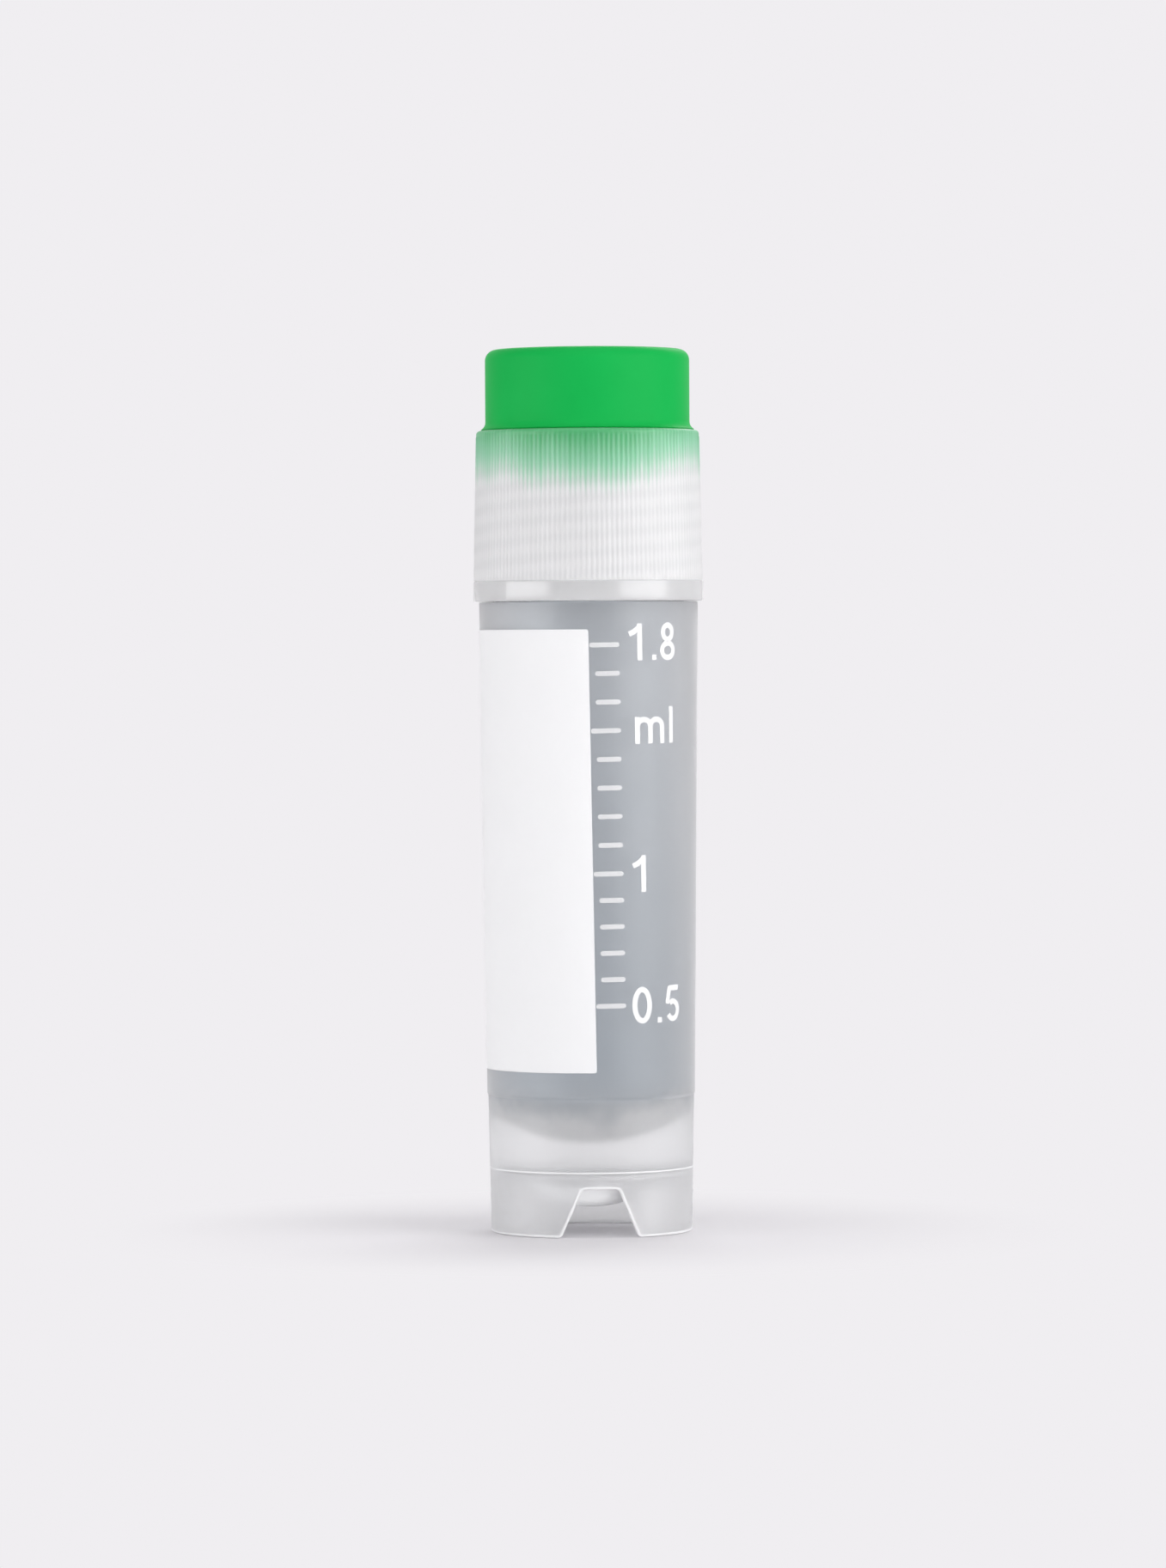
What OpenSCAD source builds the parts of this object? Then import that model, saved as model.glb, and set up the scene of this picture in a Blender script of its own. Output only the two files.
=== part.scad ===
// Self-standing screw-cap sample vial, 2 ml, with an external thread.
// Millimetres. +Z is up, the axis is X = Y = 0 and the foot stands on Z = 0.
// The writing patch and the volume scale face -Y.

/* [Tube] */
// Height of the tube's rim above the foot
tube_h = 40.8; // [34:0.1:60]
// Inside diameter of the tube
bore_d = 9.1; // [8.6:0.05:10]
// Height of the lowest point of the inside
floor_h = 4.9; // [3.9:0.05:8]
// Radius of the dished middle of the inside bottom
dish_r = 5.4; // [5.2:0.1:9]
// Radius where the inside wall turns into the dish
knuckle_r = 1.6; // [1:0.1:2.2]
// Height of the thin mould step round the outside
step_h = 7.45; // [6:0.05:9]
// Depth of the mould step
step_depth = 0.055; // [0.02:0.005:0.1]
// Draft of the outside above the step, in degrees
body_draft = 0.62; // [0.3:0.02:0.9]
// Draft of the outside below the step, in degrees
foot_draft = 1.05; // [0.5:0.05:1.5]
// How far the shoulder stays inside the cap's rim ring
shoulder_setback = 0.3; // [0.15:0.05:0.5]

/* [Foot] */
// Wall of the foot skirt at the bottom
skirt_wall = 0.75; // [0.5:0.05:0.9]
// Height of the hollow inside the foot skirt
hollow_h = 3.4; // [3:0.05:3.7]
// How far the domed underside hangs below the top of that hollow
dome_drop = 2.1; // [1.2:0.1:2.6]
// Number of notches in the foot skirt
notch_count = 3; // [2:1:4]
// Turn of the first notch away from -Y, in degrees
notch_turn = 5.2; // [-10:0.2:10]
// Height of each notch
notch_h = 2.62; // [1.5:0.02:2.8]
// Width of each notch at the bottom
notch_foot_w = 4.2; // [3:0.05:4.6]
// Width of each notch at the top
notch_top_w = 1.96; // [1.2:0.02:2.6]
// Radius of the corners of each notch
notch_r = 0.3; // [0.1:0.05:0.4]

/* [Neck and thread] */
// Length of the threaded neck above the shoulder
neck_len = 6.6; // [5.6:0.1:9]
// Wall of the neck between the bore and the thread root
neck_wall = 0.5; // [0.4:0.05:0.7]
// Height of the thread ridges
thread_depth = 0.38; // [0.25:0.01:0.5]
// Advance of the thread in one turn
thread_lead = 3; // [2.4:0.1:4]
// Number of thread starts
thread_starts = 3; // [2:1:3]
// Turns of each ridge on the neck
neck_turns = 1.2; // [0.6:0.05:1.4]
// Gap between the tube's mouth and the upper end of its thread
mouth_gap = 0.6; // [0.4:0.05:1]
// Turns of each ridge in the cap
cap_turns = 1; // [0.5:0.05:1.2]
// Width of a ridge at its root, as a share of the pitch
ridge_root_share = 0.5; // [0.4:0.01:0.52]
// Width of a ridge at its crest, as a share of the pitch
ridge_crest_share = 0.2; // [0.12:0.01:0.26]
// Radial clearance between a ridge and the wall it faces
thread_clear = 0.12; // [0.08:0.01:0.2]

/* [Cap shell] */
// Wall of the cap skirt at its top, under the ribs
cap_wall = 0.47; // [0.4:0.01:0.7]
// Draft of the cap skirt, in degrees
cap_draft = 1.15; // [0.4:0.05:1.6]
// Number of fine grip ribs round the cap
rib_count = 140; // [80:1:160]
// Height of the grip ribs
rib_depth = 0.05; // [0.03:0.005:0.12]
// Height of the smooth ring at the cap's lower edge
ring_h = 1.05; // [0.6:0.05:1.6]
// How far the ring stands out past the ribs
ring_proud = 0.015; // [0.01:0.005:0.1]
// Height of the smooth band above the ribs
band_h = 0.34; // [0.25:0.01:0.6]
// Radius of the cap shell's upper outer edge
band_r = 0.2; // [0.1:0.01:0.24]
// Gap between the cap's lower edge and the tube's shoulder
skirt_gap = 0.1; // [0.05:0.01:0.3]
// Thickness of the deck that presses on the washer
deck_t = 0.7; // [0.5:0.05:1.2]

/* [Cap insert] */
// Height of the insert above the cap shell
insert_h = 4.4; // [3:0.1:8]
// How far the insert's side stays inside the shell's outer edge
insert_setback = 0.52; // [0.4:0.01:0.7]
// Radius of the insert's top edge
insert_edge_r = 0.6; // [0.3:0.05:1]
// Reach of the flare at the foot of the insert
flare_r = 0.24; // [0.1:0.02:0.3]
// Wall of the hollow insert
insert_wall = 1.1; // [0.8:0.05:1.6]
// Depth of the insert's plug in the shell
plug_depth = 1.2; // [0.8:0.05:2]
// How far the plug stays inside the insert's side
plug_setback = 0.55; // [0.4:0.05:0.7]
// Clearance round the plug
plug_clear = 0.03; // [0.02:0.01:0.06]

/* [Washer] */
// Thickness of the sealing washer
washer_t = 0.8; // [0.5:0.05:1.2]
// Radial width of the washer
washer_w = 1.05; // [0.8:0.05:1.4]
// Clearance between the washer and the cap's bore
washer_clear = 0.1; // [0.05:0.01:0.15]

/* [Print] */
// Thickness of the ink
ink_t = 0.03; // [0.02:0.005:0.05]
// Gap between the mould step and the writing patch's lower edge
patch_foot_gap = 1.45; // [0.5:0.05:6]
// Gap between the writing patch's upper edge and the tube's shoulder
patch_top_gap = 1.5; // [0.5:0.05:6]
// Arc of the writing patch round the tube, in degrees
patch_arc = 118; // [60:1:200]
// Turn of the patch's upright edge away from -Y, in degrees
patch_turn = 1.5; // [-4:0.1:4]
// Lean of the print against the tube's axis, in degrees
print_lean = 0.8; // [0:0.05:1.5]
// Height of the lowest volume mark, 0.5 ml
mark_z = 12.48; // [11:0.02:14]
// Spacing of the marks up to 1 ml, 0.1 ml each
low_pitch = 1.42; // [1.2:0.01:1.5]
// Spacing of the marks above 1 ml, 0.1 ml each
high_pitch = 1.535; // [1.3:0.005:1.6]
// Length of a short mark
mark_len = 1.35; // [0.8:0.05:2]
// Gap between the patch and the short marks
mark_gap = 0.32; // [0.1:0.02:0.6]
// Thickness of a mark's line
mark_w = 0.26; // [0.15:0.01:0.4]

/* [Hidden] */
$fn = 96;

// Tube, from the bore outwards
bore_r = bore_d / 2;
neck_r = bore_r + neck_wall;
shoulder_z = tube_h - neck_len;
knuckle_x = bore_r - knuckle_r;
knuckle_rise = sqrt(pow(dish_r - knuckle_r, 2) - pow(knuckle_x, 2));
bowl_z = floor_h + dish_r - knuckle_rise;
dish_edge_x = knuckle_x * dish_r / (dish_r - knuckle_r);
rim_r = neck_wall * 0.3;

// Cap shell, round the neck
cap_bore_r = neck_r + thread_depth + thread_clear;
cap_z = shoulder_z + skirt_gap;
deck_z = tube_h + washer_t;
recess_z = deck_z + deck_t;
cap_top_z = recess_z + plug_depth;
rib_z = cap_z + ring_h;
rib_top_z = cap_top_z - band_h;
rib_top_r = cap_bore_r + cap_wall + rib_depth;
rib_foot_r = rib_top_r + (rib_top_z - rib_z) * tan(cap_draft);
ring_r = rib_foot_r + ring_proud;

// Tube's outside, from the cap downwards
shoulder_r = ring_r - shoulder_setback;
step_r = shoulder_r - (shoulder_z - step_h) * tan(body_draft);
foot_r = step_r - step_depth - step_h * tan(foot_draft);
skirt_in_r = foot_r - skirt_wall;
hollow_taper = 0.08;
hollow_top_r = skirt_in_r - hollow_taper;
dome_r = (pow(hollow_top_r, 2) + pow(dome_drop, 2)) / (2 * dome_drop);
notch_in_y = sqrt(pow(hollow_top_r, 2) - pow(notch_foot_w / 2 + notch_r, 2));

// Insert and its plug
insert_r = rib_top_r - insert_setback;
plug_r = insert_r - plug_setback;

// Thread
thread_pitch = thread_lead / thread_starts;
ridge_root_w = thread_pitch * ridge_root_share;
ridge_crest_w = thread_pitch * ridge_crest_share;
ridge_sink = 0.08;
ridge_step = 7.5;
ridge_fade = 30;
neck_ridge_z = tube_h - mouth_gap - thread_lead * neck_turns;
cap_ridge_z = neck_ridge_z - thread_pitch / 2;

// Print. The lower marks run from 0.5 ml to 1 ml, and the upper ones as far as the patch reaches
patch_z = step_h + patch_foot_gap;
patch_top_z = shoulder_z - patch_top_gap;
print_mid_z = (patch_z + patch_top_z) / 2;
low_count = 5;
one_ml_z = mark_z + low_count * low_pitch;
high_count = floor((patch_top_z - mark_w / 2 - one_ml_z) / high_pitch) + 1;
mark_zs = concat(
    [for (i = [0:low_count - 1]) mark_z + i * low_pitch],
    [for (i = [0:high_count - 1]) one_ml_z + i * high_pitch]
);
scale_half_arc = patch_turn + 2 * asin((mark_gap + mark_len) / step_r);

// Outside radius of the tube above the step, at height z
function tube_r(z) = step_r + (z - step_h) * tan(body_draft);

// Points of an arc round c, from angle a to angle b
function arc(c, r, a, b, n = 6) = [
    for (i = [0:n])
        let (t = a + (b - a) * i / n)
        c + r * [cos(t), sin(t)]
];

// Outline of the inside of the tube, in radius and height
module bore_profile() {
    translate([0, bowl_z]) square([bore_r, tube_h - bowl_z + 1]);
    intersection() {
        translate([0, floor_h + dish_r]) circle(dish_r);
        translate([0, floor_h]) square([dish_edge_x, bowl_z - floor_h + 0.01]);
    }
    intersection() {
        translate([knuckle_x, bowl_z]) circle(knuckle_r);
        translate([knuckle_x, bowl_z - knuckle_r]) square([knuckle_r + 0.01, knuckle_r + 0.01]);
    }
}

// Hollow under the tube: a tapered ring round the domed underside
module foot_hollow_profile() {
    difference() {
        polygon([
            [0, -1],
            [skirt_in_r, -1],
            [skirt_in_r, 0],
            [hollow_top_r, hollow_h],
            [0, hollow_h]
        ]);
        translate([0, hollow_h - dome_drop + dome_r]) circle(dome_r);
    }
}

module tube_profile() {
    difference() {
        polygon([
            [0, 0],
            [foot_r, 0],
            [step_r - step_depth, step_h],
            [step_r, step_h],
            [shoulder_r, shoulder_z],
            [neck_r, shoulder_z],
            [neck_r, tube_h - rim_r],
            [neck_r - rim_r, tube_h],
            [0, tube_h]
        ]);
        bore_profile();
        foot_hollow_profile();
    }
}

// One thread ridge: a trapezoid swept up a right-hand helix, fading out at both ends
module thread_ridge(root_r, crest_r, turns, z, start_angle) {
    steps = ceil(turns * 360 / ridge_step);
    side = sign(crest_r - root_r);
    function fade(i) = min(1, min(i, steps - i) * turns * 360 / steps / ridge_fade);
    function ring(i) = let (
        a = start_angle + turns * 360 * i / steps,
        h = z + thread_lead * turns * i / steps,
        tip_r = root_r + (crest_r - root_r) * (0.02 + 0.98 * fade(i)),
        sunk_r = root_r - side * ridge_sink
    ) [
        [sunk_r * cos(a), sunk_r * sin(a), h - ridge_root_w / 2],
        [tip_r * cos(a), tip_r * sin(a), h - ridge_crest_w / 2],
        [tip_r * cos(a), tip_r * sin(a), h + ridge_crest_w / 2],
        [sunk_r * cos(a), sunk_r * sin(a), h + ridge_root_w / 2]
    ];
    points = [for (i = [0:steps]) each ring(i)];
    last = 4 * steps;
    outward = [
        for (i = [0:steps - 1], j = [0:3])
            let (p = 4 * i + j, q = 4 * i + (j + 1) % 4)
            each [[p, p + 4, q + 4], [p, q + 4, q]]
    ];
    ends = [[0, 1, 2], [0, 2, 3], [last, last + 2, last + 1], [last, last + 3, last + 2]];
    flipped = [for (f = concat(outward, ends)) [f[0], f[2], f[1]]];
    polyhedron(points, side > 0 ? flipped : concat(outward, ends));
}

module thread(root_r, crest_r, turns, z) {
    for (i = [0:thread_starts - 1]) {
        thread_ridge(root_r, crest_r, turns, z, 360 * i / thread_starts);
    }
}

// Notch in the foot skirt: a trapezoid, narrow at the top, with rounded corners
module notch_profile() {
    lean = atan2((notch_foot_w - notch_top_w) / 2, notch_h);
    reach = notch_r * tan(45 - lean / 2);
    top_c = [notch_top_w / 2 - reach, notch_h - notch_r];
    foot_c = [notch_foot_w / 2 + reach, notch_r];
    right = concat(
        [[foot_c[0], -1]],
        arc(foot_c, notch_r, 270, 180 + lean),
        arc(top_c, notch_r, lean, 90)
    );
    polygon(concat(right, [for (i = [len(right) - 1:-1:0]) [-right[i][0], right[i][1]]]));
}

module vial_tube() {
    color([0.8, 0.83, 0.85]) {
        difference() {
            rotate_extrude() tube_profile();
            for (i = [0:notch_count - 1]) {
                rotate([90, 0, notch_turn + 360 * i / notch_count])
                    translate([0, 0, notch_in_y])
                    linear_extrude(foot_r) notch_profile();
            }
        }
        thread(neck_r, neck_r + thread_depth, neck_turns, neck_ridge_z);
    }
}

// Thin skin on the tube's outside between two heights, over an arc that ends at -Y + turn
module ink_skin(low, high, turn, arc) {
    rotate([0, 0, turn - arc - 90])
        rotate_extrude(angle = arc)
        polygon([
            [tube_r(low), low],
            [tube_r(low) + ink_t, low],
            [tube_r(high) + ink_t, high],
            [tube_r(high), high]
        ]);
}

// Places its children, drawn in X and Z, on the -Y side, in line with the patch's upright edge
module print_frame() {
    rotate([0, 0, patch_turn])
        translate([0, 0, print_mid_z])
        rotate([90, -print_lean, 0])
        linear_extrude(shoulder_r + 1)
        translate([0, -print_mid_z])
        children();
}

module writing_patch() {
    spare = 6;
    color([0.97, 0.98, 0.98])
        difference() {
            ink_skin(patch_z, patch_top_z, patch_turn + spare, patch_arc + spare);
            print_frame() translate([0, patch_z - 1]) square([shoulder_r, patch_top_z - patch_z + 2]);
        }
}

// One volume mark: a line with round ends from x = a to x = b
module mark_line(a, b, z) {
    translate([a + mark_w / 2, z - mark_w / 2]) square([b - a - mark_w, mark_w]);
    translate([a + mark_w / 2, z]) circle(d = mark_w, $fn = 24);
    translate([b - mark_w / 2, z]) circle(d = mark_w, $fn = 24);
}

module graduation_marks() {
    last = len(mark_zs) - 1;
    long_start = 0.02;
    color([0.97, 0.98, 0.98])
        intersection() {
            ink_skin(mark_z - 1, mark_zs[last] + 1, scale_half_arc, 2 * scale_half_arc);
            print_frame() {
                for (i = [0:last]) {
                    long = i % low_count == 0 || i == last;
                    mark_line(long ? long_start : mark_gap, mark_gap + mark_len, mark_zs[i]);
                }
            }
        }
}

module seal_washer() {
    outer_r = cap_bore_r - washer_clear;
    color([0.9, 0.9, 0.88])
        translate([0, 0, tube_h])
        difference() {
            cylinder(r = outer_r, h = washer_t);
            translate([0, 0, -1]) cylinder(r = outer_r - washer_w, h = washer_t + 2);
        }
}

// Star outline of the ribbed skirt at its foot
function rib_points() = [
    for (i = [0:rib_count - 1], j = [0:3])
        let (
            a = 360 / rib_count * (i + [0, 0.2, 0.5, 0.7][j]),
            r = rib_foot_r - (j < 2 ? 0 : rib_depth)
        )
        [r * cos(a), r * sin(a)]
];

module cap_shell() {
    rib_h = rib_top_z - rib_z;
    smooth_r = rib_top_r - rib_depth / 2;
    color([0.93, 0.94, 0.95]) {
        difference() {
            union() {
                translate([0, 0, rib_z])
                    linear_extrude(rib_h, scale = rib_top_r / rib_foot_r) polygon(rib_points());
                rotate_extrude() ring_profile();
                translate([0, 0, rib_top_z])
                    rotate_extrude() band_profile(smooth_r);
            }
            translate([0, 0, cap_z - 1]) cylinder(r = cap_bore_r, h = deck_z - cap_z + 1);
            translate([0, 0, recess_z]) cylinder(r = plug_r + plug_clear, h = plug_depth + 1);
        }
        thread(cap_bore_r, neck_r + thread_clear, cap_turns, cap_ridge_z);
    }
}

// Smooth ring at the cap's lower edge, with a rounded lower corner
module ring_profile() {
    edge = 0.15;
    translate([0, cap_z + edge]) square([ring_r, ring_h - edge]);
    translate([0, cap_z]) square([ring_r - edge, ring_h]);
    translate([ring_r - edge, cap_z + edge]) circle(edge);
}

// Smooth band over the ribs, with a rounded upper corner
module band_profile(r) {
    square([r, band_h - band_r]);
    square([r - band_r, band_h]);
    translate([r - band_r, band_h - band_r]) circle(band_r);
}

// Outline of the insert above the shell, with a flared foot and a rounded top edge
module insert_profile() {
    square([insert_r - insert_edge_r, insert_h]);
    square([insert_r, insert_h - insert_edge_r]);
    translate([insert_r - insert_edge_r, insert_h - insert_edge_r]) circle(insert_edge_r);
    difference() {
        square([insert_r + flare_r, 2 * flare_r]);
        translate([insert_r + 2 * flare_r, 2 * flare_r]) circle(2 * flare_r);
    }
}

module cap_insert() {
    color([0.1, 0.68, 0.3])
        translate([0, 0, cap_top_z])
        difference() {
            union() {
                rotate_extrude() insert_profile();
                translate([0, 0, -plug_depth]) cylinder(r = plug_r, h = plug_depth + 0.5);
            }
            translate([0, 0, -plug_depth - 1])
                cylinder(r = plug_r - insert_wall, h = plug_depth + 1 + insert_h - insert_wall);
        }
}

vial_tube();
writing_patch();
graduation_marks();
seal_washer();
cap_shell();
cap_insert();
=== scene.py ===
"""Looks of a self-standing 2 ml screw-cap sample vial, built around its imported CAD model.

Lengths are in millimetres and angles in degrees, and MM turns millimetres into metres.
The axis is X = Y = 0, +Z is up and the print faces -Y, as in the CAD frame.
"""

import math

import bmesh
import bpy
from mathutils import Matrix, Vector


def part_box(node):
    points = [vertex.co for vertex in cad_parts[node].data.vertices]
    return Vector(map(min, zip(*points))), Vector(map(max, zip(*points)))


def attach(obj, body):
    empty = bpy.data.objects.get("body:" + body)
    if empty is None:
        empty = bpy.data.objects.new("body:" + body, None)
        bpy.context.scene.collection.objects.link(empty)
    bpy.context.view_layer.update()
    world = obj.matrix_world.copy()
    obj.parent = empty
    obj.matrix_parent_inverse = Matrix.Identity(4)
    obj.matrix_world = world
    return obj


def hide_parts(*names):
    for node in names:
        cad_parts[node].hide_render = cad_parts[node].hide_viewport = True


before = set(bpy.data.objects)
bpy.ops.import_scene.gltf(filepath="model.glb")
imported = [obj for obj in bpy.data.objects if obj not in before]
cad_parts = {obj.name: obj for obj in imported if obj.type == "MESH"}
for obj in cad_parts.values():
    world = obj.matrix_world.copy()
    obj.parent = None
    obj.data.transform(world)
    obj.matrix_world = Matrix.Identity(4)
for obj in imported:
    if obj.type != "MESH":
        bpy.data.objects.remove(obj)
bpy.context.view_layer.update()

MM = 0.001


def foot_of(node):
    """Height of a CAD node's lowest point."""
    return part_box(node)[0].z / MM


def top_of(node):
    """Height of a CAD node's highest point."""
    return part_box(node)[1].z / MM


def reach_of(node):
    """How far a CAD node reaches from the axis, along +X."""
    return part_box(node)[1].x / MM


def slope(angle):
    return math.tan(math.radians(angle))


# ---------------------------------------------------------------- sizes, as in the CAD model
# tube
TUBE_H = top_of("vial_tube")
RING_R = reach_of("cap_shell")
BORE_R = 4.55
NECK_R = 5.05
NECK_LEN = 6.6
SHOULDER_Z = TUBE_H - NECK_LEN
SHOULDER_SETBACK = 0.3
SHOULDER_R = RING_R - SHOULDER_SETBACK
STEP_Z = 7.45
STEP_DEPTH = 0.055
BARREL_DRAFT = 0.62
FOOT_DRAFT = 1.05
STEP_R = SHOULDER_R - (SHOULDER_Z - STEP_Z) * slope(BARREL_DRAFT)
FOOT_R = STEP_R - STEP_DEPTH - STEP_Z * slope(FOOT_DRAFT)

# rounded inside bottom: a dish, and the knuckle between it and the bore
FLOOR_Z = 4.9
DISH_R = 5.4
KNUCKLE_R = 1.6

# hollow foot skirt and its notches
SKIRT_WALL = 0.75
HOLLOW_Z = 3.4
HOLLOW_TAPER = 0.08
DOME_DROP = 2.1
NOTCHES = 3
NOTCH_TURN = 5.2
NOTCH_H = 2.62
NOTCH_FOOT_W = 4.2
NOTCH_TOP_W = 1.96
NOTCH_CORNER = 0.3

# thread
LEAD = 3.0
STARTS = 3
PITCH = LEAD / STARTS
RIDGE = 0.38
RIDGE_ROOT_W = PITCH * 0.5
RIDGE_CREST_W = PITCH * 0.2
THREAD_CLEAR = 0.12
THREAD_END = 0.6
NECK_TURNS = 1.2
CAP_TURNS = 1.0
FADE = 30.0
NECK_RIDGE_Z = TUBE_H - THREAD_END - LEAD * NECK_TURNS
CAP_RIDGE_Z = NECK_RIDGE_Z - PITCH / 2

# cap shell. Its wall is measured to a rib's crest
CAP_Z = foot_of("cap_shell")
CAP_TOP_Z = top_of("cap_shell")
CAP_BORE_R = NECK_R + RIDGE + THREAD_CLEAR
CAP_WALL = 0.52
DECK_Z = top_of("seal_washer")
RECESS_Z = foot_of("cap_insert")
RIBS = 140
RIB_DEPTH = 0.042
RIB_DRAFT = 1.15
RING_H = 1.05
BAND_H = 0.34
BAND_EDGE = 0.2
RIB_Z = CAP_Z + RING_H
RIB_TOP_Z = CAP_TOP_Z - BAND_H
RIB_TOP_R = CAP_BORE_R + CAP_WALL
RIB_FOOT_R = RIB_TOP_R + (RIB_TOP_Z - RIB_Z) * slope(RIB_DRAFT)

# insert
INSERT_TOP_Z = top_of("cap_insert")
INSERT_SETBACK = 0.52
INSERT_R = RIB_TOP_R - INSERT_SETBACK
INSERT_EDGE = 0.6
FLARE = 0.24
INSERT_WALL = 1.1
PLUG_SETBACK = 0.55
PLUG_R = INSERT_R - PLUG_SETBACK
PLUG_CLEAR = 0.03

# print
PATCH_Z = foot_of("writing_patch")
PATCH_TOP_Z = top_of("writing_patch")
PATCH_MID_Z = (PATCH_Z + PATCH_TOP_Z) / 2
PATCH_TURN = 1.5
PATCH_ARC = 118.0
PATCH_CORNER = 0.12
PRINT_LEAN = 0.8
MARK_LOW_Z = 12.48
LOW_MARKS = 5
LOW_PITCH = 1.42
HIGH_MARKS = 9
HIGH_PITCH = 1.535
MARK_LEN = 1.35
MARK_GAP = 0.32
LONG_MARK_GAP = 0.03
MARK_W = 0.26
INK_GAP = 0.004
INK_T = 0.022

# figures of the scale, which are in this scene only
FIGURE_X = 2.12
FIGURE_W = 1.24
FIGURE_H = 1.98
STROKE = 0.295


# ---------------------------------------------------------------- mesh helpers
def arc(cx, cz, r, start, end, steps):
    """Points of an arc in radius and height."""
    out = []
    for i in range(steps + 1):
        a = math.radians(start + (end - start) * i / steps)
        out.append((cx + r * math.cos(a), cz + r * math.sin(a)))
    return out


def steps_between(low, high, pitch):
    """Even steps from low to high, as near to the pitch as they fit."""
    count = max(1, round((high - low) / pitch))
    return [low + (high - low) * i / count for i in range(count + 1)]


def rows_between(low, high, rows):
    """Heights of rows between two heights. rows holds how far the first and the last one stand
    off from them, and the pitch."""
    first, last, pitch = rows
    return steps_between(low + first, high + last, pitch)


def even_angles(count):
    """Angles of columns spread evenly round the axis."""
    return [360.0 / count * i for i in range(count)]


# in metres: points nearer than the first are joined, and faces thinner than the second go
WELD = 1e-8
THINNEST_FACE = 1e-9


def make_object(name, mesh, sharp, weld=False):
    """An object from a mesh, smooth apart from its edges over the angle sharp."""
    work = bmesh.new()
    work.from_mesh(mesh)
    if weld:
        bmesh.ops.remove_doubles(work, verts=work.verts, dist=WELD)
        bmesh.ops.dissolve_degenerate(work, edges=work.edges, dist=THINNEST_FACE)
    bmesh.ops.recalc_face_normals(work, faces=work.faces)
    work.to_mesh(mesh)
    work.free()
    mesh.shade_smooth()
    mesh.set_sharp_from_angle(angle=math.radians(sharp))
    piece = bpy.data.objects.new(name, mesh)
    bpy.context.scene.collection.objects.link(piece)
    return piece


class Lathe:
    """A closed surface round the axis, row by row, with its columns at the given angles.
    Each row is joined to the next, and a row at the axis closes up."""

    def __init__(self, angles):
        self.angles = angles
        self.rows = []
        self.finishes = []

    def add(self, points, finish=0):
        """A row of (angle, radius, height). finish is the material slot of the band after it."""
        row = []
        for a, r, z in points:
            t = math.radians(a)
            row.append(Vector((r * math.cos(t), r * math.sin(t), z)) * MM)
        self.rows.append(row)
        self.finishes.append(finish)

    def plain(self, r, z, finish=0):
        self.add([(a, r, z) for a in self.angles], finish)

    def follow(self, outline, finish=0):
        """A plain row at each (radius, height) of an outline."""
        for r, z in outline:
            self.plain(r, z, finish)

    def build(self, name, sharp):
        columns = len(self.angles)
        faces = []
        for j in range(len(self.rows) - 1):
            this, after = j * columns, (j + 1) * columns
            for i in range(columns):
                k = (i + 1) % columns
                faces.append((this + i, this + k, after + k, after + i))
        mesh = bpy.data.meshes.new(name)
        mesh.from_pydata([tuple(p) for row in self.rows for p in row], [], faces)
        for face, polygon in enumerate(mesh.polygons):
            polygon.material_index = self.finishes[face // columns]
        return make_object(name, mesh, sharp, weld=True)


def ridge_height(angle, z, start_z, turns):
    """How far a thread ridge stands out at an angle and height, from 0 to 1."""
    run = 360.0 * turns
    best = 0.0
    for start in range(STARTS):
        along = (angle - 360.0 * start / STARTS) % 360.0
        while along <= run:
            off = abs(z - start_z - LEAD * along / 360.0)
            flank = (RIDGE_ROOT_W / 2 - off) / (RIDGE_ROOT_W / 2 - RIDGE_CREST_W / 2)
            fade = min(along, run - along) / FADE
            best = max(best, min(1.0, flank, fade))
            along += 360.0
    return best


# ---------------------------------------------------------------- tube
NOTCH_TOP_STEPS = 4
NOTCH_CORNER_STEPS = 6
NOTCH_SIDE_STEPS = 8
LEG_STEPS = 64


def half_notch():
    """Half of a notch's outline, from its middle to a leg: (x, z, normal x, normal z)."""
    lean = math.degrees(math.atan2((NOTCH_FOOT_W - NOTCH_TOP_W) / 2, NOTCH_H))
    reach = NOTCH_CORNER * slope(45 - lean / 2)
    top_x = NOTCH_TOP_W / 2 - reach
    foot_x = NOTCH_FOOT_W / 2 + reach
    half = [(top_x * i / NOTCH_TOP_STEPS, NOTCH_H, 0.0, -1.0) for i in range(NOTCH_TOP_STEPS)]

    def corner(cx, cz, start, sweep, side):
        for i in range(NOTCH_CORNER_STEPS + 1):
            t = math.radians(start + sweep * i / NOTCH_CORNER_STEPS)
            x, z = math.cos(t), math.sin(t)
            half.append((cx + NOTCH_CORNER * x, cz + NOTCH_CORNER * z, side * x, side * z))

    corner(top_x, NOTCH_H - NOTCH_CORNER, 90, lean - 90, -1)
    x0, z0 = half[-1][:2]
    t = math.radians(180 + lean)
    x1 = foot_x + NOTCH_CORNER * math.cos(t)
    z1 = NOTCH_CORNER + NOTCH_CORNER * math.sin(t)
    for i in range(1, NOTCH_SIDE_STEPS):
        f = i / NOTCH_SIDE_STEPS
        half.append((x0 + (x1 - x0) * f, z0 + (z1 - z0) * f, math.cos(t), math.sin(t)))
    corner(foot_x, NOTCH_CORNER, 180 + lean, 90 - lean, 1)
    return half


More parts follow.
